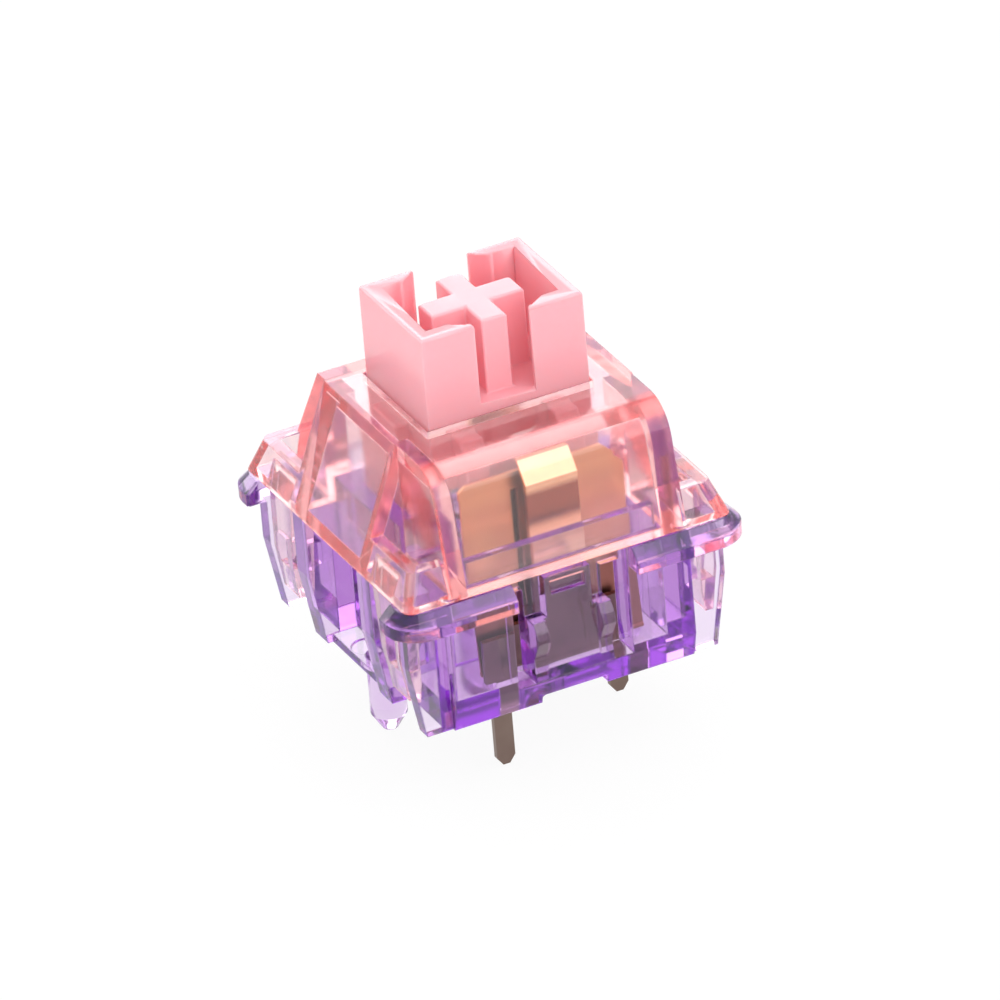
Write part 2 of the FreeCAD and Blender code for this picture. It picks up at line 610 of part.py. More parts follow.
def front_barrel(name, inset, half, low):
    """The front of the cover: a leaning face that rolls over a shoulder into the top."""
    radius = f"(shoulder - {inset})"
    height = f"({COVER_TOP} - shoulder)"
    face = f"({RIM_HALF} - ({height} - {RIM_LOW}) * front_lean)"
    centre_y = f"({face} - shoulder * {LEAN_LENGTH})"
    foot = f"({RIM_HALF} - ({low} - {RIM_LOW}) * front_lean - {inset} * {LEAN_LENGTH})"
    body = prism(name + "_block", "YZ", [
        ("0", low),
        (minus(foot), low),
        (f"-({centre_y} + {radius} / {LEAN_LENGTH})",
         f"{height} + {radius} * front_lean / {LEAN_LENGTH}"),
        (f"-{centre_y}", f"{height} + {radius}"),
        ("0", f"{height} + {radius}"),
    ], both_ways(half))
    round_edge = roller(name + "_shoulder", radius, both_ways(half), f"-{centre_y}", height)
    return fuse(name, body, round_edge)


def leaning(lean, rise, inset):
    """The reach of a face that leans in from the rim, as a function of the height."""
    return lambda z: f"({RIM_HALF} - ({z} - {RIM_LOW}) * {lean} / {rise} - {inset})"


def wings(name, inset, half, low, high):
    """The slanted block between the two side faces."""
    reach = leaning("wing_draw_in", "cover_rise", inset)
    return tapered(name, (*both_ways(reach(low)), *both_ways(half)),
                   (*both_ways(reach(high)), *both_ways(half)), (low, high))


def back_block(name, inset, half, low, high):
    reach = leaning("back_draw_in", "cover_rise", inset)
    return tapered(name, (*both_ways(half), "0", reach(low)),
                   (*both_ways(half), "0", reach(high)), (low, high))


def corner_rim(name, inset, low, high):
    """The rim that stands round the cover's four open corners."""
    reach = leaning("corner_draw_in", "corner_rise", inset)
    foot = both_ways(reach(low))
    top = both_ways(reach(high))
    return tapered(name, (*foot, *foot), (*top, *top), (low, high))


def rim_round():
    """What the rounding takes off one corner of the rim: its axis leans in with the two faces."""
    slope = "(corner_draw_in / corner_rise)"
    centre = leaning("corner_draw_in", "corner_rise", f"rim_round * sqrt(1 + {slope} * {slope})")
    low = f"({RIM_LOW} - {LAP})"
    high = f"({CORNER_TOP} + {LAP})"
    foot = (centre(low), DEEP)
    top = (centre(high), DEEP)
    corner = tapered("rim_round_corner", (*foot, *foot), (*top, *top), (low, high))
    start = f"({RIM_LOW} - corner_rise)"
    keep = post("rim_round_keep", "2 * rim_round", (start, DEEP), centre(start), centre(start))
    keep.Placement.Rotation = FreeCAD.Rotation(FreeCAD.Vector(1, -1, 0), 30)
    bind(keep, "Placement.Rotation.Angle", f"atan(sqrt(2) * {slope})")
    return cut("rim_round_waste", corner, keep)


def cover_leg():
    """A leg that hangs from the rim and snaps over a hook on the base."""
    root_top = f"({RIM_LOW} + leg_root)"
    tip = "(base_half - foot_draft * (1 - leg_tip_z / taper_top))"
    side = prism("leg_thickness", "XZ", [
        (f"{LEG_FACE} - leg_thick", root_top),
        (f"{LEG_FACE} - leg_root_in", root_top),
        (LEG_FACE, RIM_LOW),
        (LEG_FACE, "taper_top"),
        (tip, "leg_tip_z"),
        (f"{tip} - leg_tip_thick", "leg_tip_z"),
        (f"{LEG_FACE} - leg_thick", "taper_top - leg_bend_drop"),
    ], (f"{LEG_NEAR} - {PAST}", f"{LEG_FAR} + {PAST}"))
    front = prism("leg_width", "YZ", [
        (LEG_NEAR, root_top),
        (LEG_NEAR, RIM_LOW),
        (LEG_TIP_NEAR, "leg_tip_z + leg_tip_straight"),
        (LEG_TIP_NEAR, f"leg_tip_z - {PAST}"),
        (LEG_FAR, f"leg_tip_z - {PAST}"),
        (LEG_FAR, root_top),
    ], ("0", DEEP))
    window = box("leg_window", ("0", DEEP),
                 (f"{LEG_MIDDLE} - leg_window_half", f"{LEG_MIDDLE} + leg_window_half"),
                 ("leg_window_low", "leg_window_high"))
    return at_four("cover_legs", cut("cover_leg", common("leg_blank", side, front), window))


def upper_housing():
    below = f"({RIM_LOW} - {LAP})"
    rim = cut("cover_rim", corner_rim("cover_rim_block", "0", RIM_LOW, CORNER_TOP),
              at_four("rim_rounds", rim_round()))
    outside = fuse(
        "cover_outside", rim,
        wings("cover_wings", "0", "wing_half", RIM_LOW, COVER_TOP),
        back_block("cover_back", "0", FRONT_HALF, RIM_LOW, COVER_TOP),
        front_barrel("cover_front", "0", FRONT_HALF, RIM_LOW))
    well = common(
        "corner_well_corner",
        corner_rim("corner_well_rim", "corner_wall", below, f"({CORNER_TOP} + {LAP})"),
        box("corner_well_box", (FRONT_HALF, DEEP), ("wing_half", DEEP), (below, DEEP)))
    inner_half = f"({FRONT_HALF} - cover_wall)"
    side_inset = "cover_wall * sqrt(1 + (wing_draw_in / cover_rise) * (wing_draw_in / cover_rise))"
    back_inset = "cover_wall * sqrt(1 + (back_draw_in / cover_rise) * (back_draw_in / cover_rise))"
    inside = fuse(
        "cover_inside",
        wings("inside_wings", side_inset, "(wing_half - cover_wall)", below, CEILING),
        back_block("inside_back", back_inset, inner_half, below, CEILING),
        front_barrel("inside_front", "cover_wall", inner_half, below))
    below_roof = common("cover_hollow", inside, box(
        "below_roof", both_ways(DEEP), both_ways(DEEP), (below, CEILING)))
    opening = box("stem_opening", both_ways(f"{STEM_HALF} + stem_gap"),
                  both_ways(f"{STEM_FRONT} + stem_gap"), (f"{CEILING} - {PAST}", DEEP))
    marks = at_four("rim_marks", post(
        "rim_mark", "rim_mark_width", (below, f"{RIM_LOW} + mark_deep"),
        "rim_mark_x", f"{RIM_HALF} - rim_mark_in"))
    shell = cut("cover_shell", outside, at_four("corner_wells", well), below_roof, opening, marks)
    return fuse("cover", shell, cover_leg())


# Plunger

def plunger():
    block = box("stem_block", both_ways(STEM_HALF), both_ways(STEM_FRONT), (STEM_LOW, STEM_TOP))
    room = box("keycap_room", both_ways(f"{STEM_HALF} - side_wall"),
               both_ways(f"{STEM_FRONT} - end_wall"), (STEM_FLOOR, DEEP))
    relief = post("keycap_relief_hole", "keycap_relief", (STEM_FLOOR, DEEP))
    slots = box("keycap_slots", both_ways("slot_half"), both_ways("stem_deep"),
                (STEM_FLOOR, DEEP))
    pocket = post("spring_pocket_hole", "spring_width + 2 * pocket_gap",
                  (f"{STEM_LOW} - {PAST}", SPRING_CEILING))
    hollow = cut("stem_hollow", block, room, relief, slots, pocket)

    cross_top = f"({STEM_TOP} - cross_drop)"
    straight = f"({cross_top} - cross_bevel)"
    arms = []
    for name, x, y in (("cross_front_arm", "cross_front", "cross_span"),
                       ("cross_side_arm", "cross_span", "cross_side")):
        arms.append(box(name, both_ways(f"{x} / 2"), both_ways(f"{y} / 2"),
                        (f"{STEM_FLOOR} - {LAP}", straight)))
        arms.append(tapered(
            name + "_top",
            (*both_ways(f"{x} / 2"), *both_ways(f"{y} / 2")),
            (*both_ways(f"{x} / 2 - cross_bevel"), *both_ways(f"{y} / 2 - cross_bevel")),
            (straight, cross_top)))

    cheek = box("stem_cheek", (f"{STEM_HALF} - cheek", STEM_HALF), both_ways("cheek_half"),
                (RAIL_LOW, f"{STEM_LOW} + {LAP}"))
    rail = box("stem_rail", (f"{STEM_HALF} - {LAP}", RAIL_SIDE), both_ways("rail_half"),
               (RAIL_LOW, f"{CEILING} - rail_gap"))
    finger = prism("cam_finger", "YZ", [
        (f"-({STEM_FRONT} - {LAP})", STEM_LOW),
        (f"-{STEM_FRONT}", FINGER_LOW),
        (cam_at(FINGER_LOW), FINGER_LOW),
        (cam_at(FINGER_HIGH), FINGER_HIGH),
        (f"-({STEM_FRONT} - {LAP})", FINGER_HIGH),
    ], ("finger_near", "finger_far"))
    pole_tip = "(travel + bottom_gap - (post_length - bore_end))"
    pole = post("stem_pole", "pole_width",
                (f"{pole_tip} + pole_tip_rise", f"{SPRING_CEILING} + {LAP}"))
    tip = cone("stem_pole_tip", "pole_tip_width", "pole_width",
               (pole_tip, f"{pole_tip} + pole_tip_rise"))
    return fuse("plunger_body", hollow, *arms, in_pair("stem_cheeks", cheek, "x"),
                in_pair("stem_rails", rail, "x"), in_pair("cam_fingers", finger, "x"), pole, tip)


# Spring

def coil_spring():
    """A wound wire between the base's floor and the plunger."""
    body = doc.addObject("PartDesign::Body", "spring_body")
    sketch = body.newObject("Sketcher::SketchObject", "spring_wire_section")
    front = [f for f in body.Origin.OriginFeatures if f.Role == "XZ_Plane"][0]
    sketch.AttachmentSupport = (front, [""])
    sketch.MapMode = "FlatFace"
    draw_outline(sketch, [
        (f"(spring_width - spring_wire) / 2 + spring_wire / 2 * {round(math.cos(turn), 6)}",
         f"floor_top + spring_gap + spring_wire / 2 * (1 + {round(math.sin(turn), 6)})")
        for turn in (math.radians(30 + 60 * side) for side in range(6))
    ])
    helix = body.newObject("PartDesign::AdditiveHelix", "spring_coils")
    helix.Profile = sketch
    helix.ReferenceAxis = (sketch, ["V_Axis"])
    helix.Mode = "height-turns-angle"
    bind(helix, "Height", f"{SPRING_CEILING} - floor_top - 2 * spring_gap - spring_wire")
    bind(helix, "Turns", "spring_turns")
    return body


# Contacts

def solder_pin(name, centre, top):
    """A flat pin with a pointed end, through the base's floor."""
    x, y = centre
    shoulder = "-(pin_length - pin_point)"
    return prism(name, "XZ", [
        (f"{x} - pin_width / 2", top),
        (f"{x} - pin_width / 2", shoulder),
        (f"{x} - pin_tip / 2", "-pin_length"),
        (f"{x} + pin_tip / 2", "-pin_length"),
        (f"{x} + pin_width / 2", shoulder),
        (f"{x} + pin_width / 2", top),
    ], (f"{y} - sheet / 2", f"{y} + sheet / 2"))


def fixed_terminal():
    """The upright tongue between the cam fingers, its foot bar and its pin."""
    x, y = PIN_RIGHT
    right = f"{x} + pin_width / 2"
    bar = box("fixed_bar", ("-tongue_half", right), FIXED_PLATE, (PIN_TOP, f"{PIN_TOP} + bar_rise"))
    tongue = box("fixed_tongue", both_ways("tongue_half"), FIXED_PLATE, (PIN_TOP, "tongue_top"))
    jog = box("fixed_jog", (f"{x} - pin_width / 2", right),
              (FIXED_PLATE[0], f"{y} + sheet / 2"), (PIN_TOP, f"{PIN_TOP} + sheet"))
    pin = solder_pin("fixed_pin", PIN_RIGHT, f"{PIN_TOP} + sheet")
    return fuse("fixed_plate", bar, tongue, jog, pin)


def leaf_terminal():
    """The carrier plate that the leaf is folded on, with an upright strip and its pin."""
    y = PIN_LEFT[1]
    front = f"({y} - sheet / 2)"
    back = f"({y} + sheet / 2)"
    top = f"({CEILING} - strip_gap)"
    plate = box("carrier_plate", ("-carrier_left", "carrier_right"), (front, back),
                (PIN_TOP, "carrier_top"))
    strip = prism("carrier_strip", "YZ", [
        (back, PIN_TOP),
        (front, PIN_TOP),
        (front, f"{top} - strip_bent"),
        (f"{front} + strip_draw_back", top),
        (f"{back} + strip_draw_back", top),
        (back, f"{top} - strip_bent"),
    ], ("-strip_left", "strip_right"))
    pin = solder_pin("leaf_pin", PIN_LEFT, f"{PIN_TOP} + {LAP}")
    return fuse("carrier", plate, strip, pin)


def contact_leaf():
    """The thin spring leaf, with a tongue between two slits and two bumps that ride on the cams."""
    foot = f"-{LEAF_FOOT}"
    face = f"-{LEAF_FACE}"
    bend = "bump_z - leaf_bend_drop"
    section = prism("leaf_section", "YZ", [
        (f"{foot} - leaf_sheet / 2", "leaf_foot_z"),
        (f"{foot} + leaf_sheet / 2", "leaf_foot_z"),
        (face, bend),
        (face, LEAF_TOP),
        (f"{face} - leaf_sheet", LEAF_TOP),
        (f"{face} - leaf_sheet", bend),
    ], ("-leaf_left", "leaf_right"))
    outline = prism("leaf_outline", "XZ", [
        ("-leaf_left", "0"),
        ("leaf_right", "0"),
        ("leaf_right", f"{LEAF_TOP} - leaf_corner"),
        ("leaf_right - leaf_corner", LEAF_TOP),
        ("-leaf_left + leaf_corner / 3", LEAF_TOP),
        ("-leaf_left", f"{LEAF_TOP} - leaf_corner / 3"),
    ], (minus(DEEP), "0"))
    slits = fuse("leaf_slits", *[
        box(name, x, (minus(DEEP), "0"), ("slit_low", f"{LEAF_TOP} - slit_end"))
        for name, x in (("leaf_slit_left", ("-(slit_left + slit_width)", "-slit_left")),
                        ("leaf_slit_right", ("slit_right", "slit_right + slit_width")))])
    fold = roller("leaf_fold_roll", "leaf_fold", ("-leaf_left", "leaf_right"), foot, "leaf_foot_z")
    bumps = in_pair("leaf_bumps", roller(
        "leaf_bump", "bump_round",
        (f"{FINGER_MIDDLE} - bump_half", f"{FINGER_MIDDLE} + bump_half"),
        f"-({CAM_REACH} + bump_gap + bump_round)", "bump_z"), "x")
    bump_fronts = common("leaf_bump_fronts", bumps, box(
        "leaf_bump_room", both_ways(DEEP), (f"{face} - leaf_sheet / 2", "0"), ("0", DEEP)))
    blank = cut("leaf_blank", common("leaf_cut_out", section, outline), slits)
    return fuse("leaf", blank, fold, bump_fronts)


def contact_points():
    """Two crossed bars, one on the tongue and one on the leaf."""
    half = "contact_long / 2"
    slim = "contact_wide / 2"
    on_tongue = box("fixed_point", both_ways(half),
                    (f"{FIXED_PLATE[0]} - contact_thick", FIXED_PLATE[0]),
                    (f"contact_z - {slim}", f"contact_z + {slim}"))
    on_leaf = box("leaf_point", both_ways(slim),
                  (f"-{LEAF_FACE}", f"-{LEAF_FACE} + contact_thick"),
                  (f"contact_z - {half}", f"contact_z + {half}"))
    return on_tongue, on_leaf


fixed_point, leaf_point = contact_points()
NODES = {
    "lower_housing": lower_housing(),
    "upper_housing": upper_housing(),
    "stem": plunger(),
    "return_spring": coil_spring(),
    "fixed_terminal": fixed_terminal(),
    "fixed_contact_point": fixed_point,
    "leaf_terminal": leaf_terminal(),
    "contact_leaf": contact_leaf(),
    "leaf_contact_point": leaf_point,
}
for node, item in NODES.items():
    item.Label = node
doc.recompute()


# Every object has to be sound before anything is written

for item in doc.Objects:
    if "Invalid" in item.State or "Error" in item.State:
        raise RuntimeError(f"{item.Name} could not be worked out: {item.State}")
for node, item in NODES.items():
    if item.Shape.isNull() or not item.Shape.isValid():
        raise RuntimeError(f"{node} is not a sound solid")

os.makedirs("parts", exist_ok=True)
for node, item in NODES.items():
    item.Shape.exportStep(f"parts/{node}.step")
    print(f"{node}: {len(item.Shape.Solids)} solid, {item.Shape.Volume:.3f} mm3")
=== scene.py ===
# %% [markdown]
# # A clear keyboard switch
#
# The part is already built: its exact solids were packed into one model, which is loaded
# here. What is left is the look. Most of this switch is clear tinted plastic, so most of
# the work is to let light through it: how strongly each millimetre of plastic colours the
# light, how smooth its skin is, and how soft its edges are. Every length in this file is
# in metres, and `mm` turns millimetres into metres.

# %% Load the frame
import math

import bmesh
import bpy
from mathutils import Matrix, Vector


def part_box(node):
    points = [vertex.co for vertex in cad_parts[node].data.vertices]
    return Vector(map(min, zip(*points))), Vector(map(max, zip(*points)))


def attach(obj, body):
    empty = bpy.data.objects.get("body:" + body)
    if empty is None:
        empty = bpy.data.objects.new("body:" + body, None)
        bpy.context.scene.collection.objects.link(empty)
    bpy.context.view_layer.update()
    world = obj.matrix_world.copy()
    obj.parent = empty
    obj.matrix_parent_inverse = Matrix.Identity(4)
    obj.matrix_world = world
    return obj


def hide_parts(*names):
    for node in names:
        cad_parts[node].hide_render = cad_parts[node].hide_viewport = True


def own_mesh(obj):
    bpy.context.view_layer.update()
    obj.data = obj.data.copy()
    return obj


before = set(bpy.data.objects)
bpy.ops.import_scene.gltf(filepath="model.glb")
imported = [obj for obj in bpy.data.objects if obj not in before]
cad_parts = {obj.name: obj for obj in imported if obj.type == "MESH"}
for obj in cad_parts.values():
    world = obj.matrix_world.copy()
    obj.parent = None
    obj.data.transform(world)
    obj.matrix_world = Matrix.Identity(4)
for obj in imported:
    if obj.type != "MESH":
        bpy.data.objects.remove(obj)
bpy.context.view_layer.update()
mm = 0.001
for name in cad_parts:
    low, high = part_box(name)
    print(name, [round((b - a) / mm, 2) for a, b in zip(low, high)], "mm")

# %% [markdown]
# ## The camera
#
# The picture was taken with a long lens from the front left, about thirty degrees up.
# The lens is so long that edges that are parallel on the switch stay parallel in the
# picture. A camera could be moved by eye until the picture fits, but here its place and
# lens were worked out from the standard sizes of a switch: its posts, its pins and its
# 15.6 mm flange each had to land on their own pixel. A camera looks along its own -Z, so
# its matrix is built from three directions: right, up, and backwards.

# %% Put the camera where the picture was taken
turn = math.radians(24.55)
lift = math.radians(29.49)
tilt = math.radians(4.89)
camera_place = (-220.16 * mm, -483.09 * mm, 305.75 * mm)
focal_length, sensor_width = 556.17, 36


def new_object(name, data):
    """An object in the scene with the given mesh, lamp or camera."""
    item = bpy.data.objects.new(name, data)
    bpy.context.scene.collection.objects.link(item)
    return item


view = Vector((math.sin(turn) * math.cos(lift), math.cos(turn) * math.cos(lift),
               -math.sin(lift)))
level = view.cross(Vector((0, 0, 1))).normalized()
upright = level.cross(view)
right = level * math.cos(tilt) - upright * math.sin(tilt)
up = upright * math.cos(tilt) + level * math.sin(tilt)

lens = bpy.data.cameras.new("long_lens")
lens.sensor_width = sensor_width
lens.lens = focal_length
lens.clip_start = 0.05
lens.clip_end = 5
camera = new_object("camera", lens)
camera.matrix_world = Matrix.Translation(camera_place) @ Matrix(
    (right, up, -view)).transposed().to_4x4()
bpy.context.scene.camera = camera
print("the camera looks along", [round(v, 4) for v in view])

# %% [markdown]
# ## Nodes by one small helper
#
# A material is a tree of nodes. Adding each node takes the same three steps: make it,
# set its values, and join its inputs to other nodes. One helper does the three. A value
# goes to the input of that name, or else to the setting of that name. Some nodes have
# several inputs of one name, and those are reached by number: the colours of a Mix node
# go in at 6 and 7, its share at 0, and the mixed colour comes out at 2.
#
# Colours are written as sRGB hex, as a paint program shows them. Blender reckons in
# linear light, so one function turns the one into the other.

# %% The helpers
def linear(hex_colour):
    """The linear colour of an sRGB hex value."""
    parts = [int(hex_colour[i:i + 2], 16) / 255 for i in (1, 3, 5)]
    return [p / 12.92 if p <= 0.04045 else ((p + 0.055) / 1.055) ** 2.4
            for p in parts] + [1.0]


def add(tree, kind, values=None, links=None):
    """Adds a node, sets its values and joins its inputs."""
    node = tree.nodes.new("ShaderNode" + kind)
    for name, value in (values or {}).items():
        if isinstance(name, int) or name in node.inputs:
            node.inputs[name].default_value = value
        else:
            setattr(node, name, value)
    for name, output in (links or {}).items():
        tree.links.new(output, node.inputs[name])
    return node


def new_material(name):
    """An empty material, with its tree and its output node."""
    material = bpy.data.materials.new(name)
    material.use_nodes = True
    material.node_tree.nodes.clear()
    return material, material.node_tree, add(material.node_tree, "OutputMaterial")


white = linear("#FFFFFF")
print("white is", white)

# %% [markdown]
# ## The studio
#
# The switch stands on white, in even light, and hardly any shadow shows. More light
# would make the ground white too, but it would bleach the switch with it. So the floor
# and the surroundings are white by themselves wherever the camera sees them, also
# through the clear plastic or in a reflection. For all other light they are plain pale
# surfaces, which hardly shine on the switch. The floor keeps a faint shadow.

# %% The surroundings
room_light = 0.55


def in_sight(tree):
    """A value that is 1 for what the camera sees, also through plastic or mirrored."""
    ray = add(tree, "LightPath")
    seen = add(tree, "Math", {"operation": "MAXIMUM"},
               {0: ray.outputs["Is Camera Ray"], 1: ray.outputs["Is Glossy Ray"]})
    seen = add(tree, "Math", {"operation": "MAXIMUM"},
               {0: seen.outputs[0], 1: ray.outputs["Is Transmission Ray"]})
    return seen.outputs[0]


world = bpy.data.worlds.new("studio")
bpy.context.scene.world = world
world.use_nodes = True
sky = world.node_tree
sky.nodes.clear()
strength = add(sky, "MapRange", {"To Min": room_light, "To Max": 1.0}, {"Value": in_sight(sky)})
background = add(sky, "Background", {"Color": white}, {"Strength": strength.outputs[0]})
add(sky, "OutputWorld", links={"Surface": background.outputs[0]})
print("the surroundings shine with", room_light, "and look white")

# %% The floor
white_share = 0.93
floor_radius = 0.6
floor_gap = 0.02 * mm

floor_material, tree, out = new_material("white_floor")
share = add(tree, "Math", {"operation": "MULTIPLY", 1: white_share}, {0: in_sight(tree)})
paper = add(tree, "BsdfPrincipled", {"Base Color": linear("#F7F7F7"), "Roughness": 0.9})
glow = add(tree, "Emission", {"Color": white, "Strength": 1.0})
mixed = add(tree, "MixShader",
            links={0: share.outputs[0], 1: paper.outputs[0], 2: glow.outputs[0]})
tree.links.new(mixed.outputs[0], out.inputs["Surface"])

post_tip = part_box("lower_housing")[0][2]
sheet = bmesh.new()
bmesh.ops.create_circle(sheet, cap_ends=True, segments=96, radius=floor_radius)
floor_mesh = bpy.data.meshes.new("floor")
sheet.to_mesh(floor_mesh)
sheet.free()
floor_mesh.materials.append(floor_material)
floor = new_object("floor", floor_mesh)
floor.location.z = post_tip - floor_gap
print("the floor lies under the tip of the post, at", round(post_tip / mm, 2), "mm")

# %% [markdown]
# ## The lamps
#
# Small lamps would put hard sparks on the clear plastic, so all lamps are wide and soft.
# The tops of the plunger and of the cover are the brightest, so two wide ones hang above
# the switch: the main one to the front right, the other almost straight over it. Gloss
# shows best with a lamp behind the surface, so a third one stands high behind the switch
# and draws the pale sheen on the roof, the flange and the plunger's top. A fourth, low
# behind the left corner, does the same for the slanting side of the cover. Two weak ones,
# in front and on the left, fill the shade. All stand further off than the camera of any
# view, so none comes into a picture.

# %% Hang the lamps
lamps = {  # name: (place, width, power in watts)
    "main_lamp": ((0.3, -0.4, 0.5), 0.8, 3.0),
    "top_lamp": ((-0.1, 0.2, 0.8), 0.9, 3.0),
    "back_lamp": ((0.25, 0.6, 0.4), 0.6, 2.4),
    "low_back_lamp": ((-0.4, 0.62, 0.12), 0.5, 1.5),
    "front_lamp": ((-0.1, -0.65, 0.12), 0.4, 0.8),
    "left_lamp": ((-0.7, 0.0, 0.25), 0.5, 0.4),
}
for name, (place, width, power) in lamps.items():
    light = bpy.data.lights.new(name, "AREA")
    light.size = width
    light.energy = power
    item = new_object(name, light)
    item.location = place
    item.rotation_euler = (-Vector(place)).to_track_quat("-Z", "Y").to_euler()
    print(name, "is", width, "m wide and has", power, "W")

# %% [markdown]
# Clear plastic needs many bounces: light that enters an edge is thrown to and fro between
# the faces before it leaves, and where the count runs out the render turns black.

# %% Let light bounce
bounces = 24
cycles = bpy.context.scene.cycles
cycles.max_bounces = bounces
cycles.transmission_bounces = bounces
cycles.glossy_bounces = bounces
print("light bounces", bounces, "times at most")

# %% [markdown]
# ## Clear polycarbonate
#
# Both housings are moulded from polycarbonate, tinted in the mass and polished by the
# mould. A colour on the skin would tint thin and thick places alike. Such plastic has no
# colour on its skin: light takes the colour up inside, the longer the way the deeper, so
# thin walls look nearly white and edges look saturated. That is a Volume Absorption. The
# colour given here is that of white light after one millimetre of the plastic. A share t
# of it is left when the absorption colour is 1 + ln(t) and the density is one per
# millimetre.
#
# The skin has the plastic's refraction of 1.585. Real mouldings have faint flow waves a
# few millimetres wide and a fine haze from handling, so a weak bump and an uneven
# roughness follow two noises. The haze makes the cover's skin softer than the base's, and
# scatters a hundredth of the light there. No edge of a moulding is sharp: each has a
# radius of about a tenth of a millimetre, which bends the light behind it into a bright
# or dark line. Rounding the meshes would change the exact solids, so the Bevel node gives
# that bend in the material instead.

# %% The clear plastics
edge_radius = 0.1 * mm


def clear_plastic(name, skin, after_one_mm, roughness, clearness):
    """Polycarbonate tinted in the mass, with a colour for white light after a millimetre."""
    material, tree, out = new_material(name)
    place = add(tree, "TexCoord")
    waves = add(tree, "TexNoise", {"Scale": 1 / (3 * mm), "Detail": 1.0},
                {"Vector": place.outputs["Object"]})
    haze = add(tree, "TexNoise", {"Scale": 1 / (0.6 * mm), "Detail": 4.0},
               {"Vector": place.outputs["Object"]})
    rough = add(tree, "MapRange", {"To Min": roughness * 0.6, "To Max": roughness * 1.6},
                {"Value": haze.outputs["Fac"]})
    edges = add(tree, "Bevel", {"samples": 4, "Radius": edge_radius})
    bump = add(tree, "Bump", {"Strength": 0.12, "Distance": 0.05 * mm},
               {"Height": waves.outputs["Fac"], "Normal": edges.outputs[0]})
    tint = add(tree, "Mix", {"data_type": "RGBA", 6: white, 7: linear(skin)},
               {0: haze.outputs["Fac"]})
    surface = add(tree, "BsdfPrincipled",
                  {"Transmission Weight": clearness, "IOR": 1.585},
                  {"Base Color": tint.outputs[2], "Roughness": rough.outputs[0],
                   "Normal": bump.outputs[0]})
    tree.links.new(surface.outputs[0], out.inputs["Surface"])
    left = linear(after_one_mm)[:3]
    inside = add(tree, "VolumeAbsorption",
                 {"Color": [1 + math.log(t) for t in left] + [1.0], "Density": 1 / mm})
    tree.links.new(inside.outputs[0], out.inputs["Volume"])
    print(name, "keeps", [round(t, 3) for t in left], "of the light per mm")
    return material


violet_polycarbonate = clear_plastic("violet_polycarbonate", "#FBF6FF", "#EFDFF5", 0.06, 1.0)
pink_polycarbonate = clear_plastic("pink_polycarbonate", "#FFEAEB", "#FFF2F2", 0.1, 0.99)

# %% [markdown]
# ## Acetal
#
# The plunger is moulded acetal: a slippery, milky plastic with a satin skin. A plain
# coloured surface would look like paint. Light enters acetal a little way, red light the
# furthest, so a subsurface share softens its edges and its deep corners turn a warmer
# pink. The colour varies very slightly with the flow of the melt, over a few millimetres.
# The mould's fine grain is a few hundredths of a millimetre wide, drawn here a little
# coarser so that it shows.

# %% The plunger's plastic
pink_acetal, tree, out = new_material("pink_acetal")
place = add(tree, "TexCoord")
flow = add(tree, "TexNoise", {"Scale": 1 / (4 * mm), "Detail": 2.0},
           {"Vector": place.outputs["Object"]})
grain = add(tree, "TexNoise", {"Scale": 1 / (0.08 * mm), "Detail": 2.0},
            {"Vector": place.outputs["Object"]})
colour = add(tree, "Mix", {"data_type": "RGBA", 6: linear("#F6A8B1"), 7: linear("#F9B1BA")},
             {0: flow.outputs["Fac"]})
rough = add(tree, "MapRange", {"To Min": 0.12, "To Max": 0.22}, {"Value": grain.outputs["Fac"]})
bump = add(tree, "Bump", {"Strength": 0.15, "Distance": 0.01 * mm},
           {"Height": grain.outputs["Fac"]})
surface = add(tree, "BsdfPrincipled",
              {"Subsurface Weight": 0.5, "Subsurface Radius": (1.0, 0.35, 0.3),
               "Subsurface Scale": 1.0 * mm, "IOR": 1.48},
              {"Base Color": colour.outputs[2], "Roughness": rough.outputs[0],
               "Normal": bump.outputs[0]})
tree.links.new(surface.outputs[0], out.inputs["Surface"])
print(pink_acetal.name, "has", len(tree.nodes), "nodes")

# %% [markdown]
# ## Metals
#
# The leaf is rolled copper alloy, golden above and browner towards its foot. The terminals
# are brass strip, tinned, a grey-brown drawn darker than tin as painted shade for the
# plates low in the base. One of them sends a bare strip up into the cover: it has bright
# bands of painted highlight at its foot and where it is bent back, and a browner band of
# painted shade between the two. The contact points are plated with gold, and the spring
# is drawn steel wire.
#
# All of them only reflect, so their colour is the colour of their reflection. Rolling
# leaves fine lines along the sheet. A picture of brushed metal would have seams, and a
# noise stretched along one axis has none. The lines are a few hundredths of a millimetre
# apart, as the real ones are, and fifty times as long. A layer is a colour that comes in
# between two heights above the board.

# %% The metals
along_x, along_z, even = (0.02, 1, 1), (1, 1, 0.02), (1, 1, 1)  # 1 / 50 of the scale


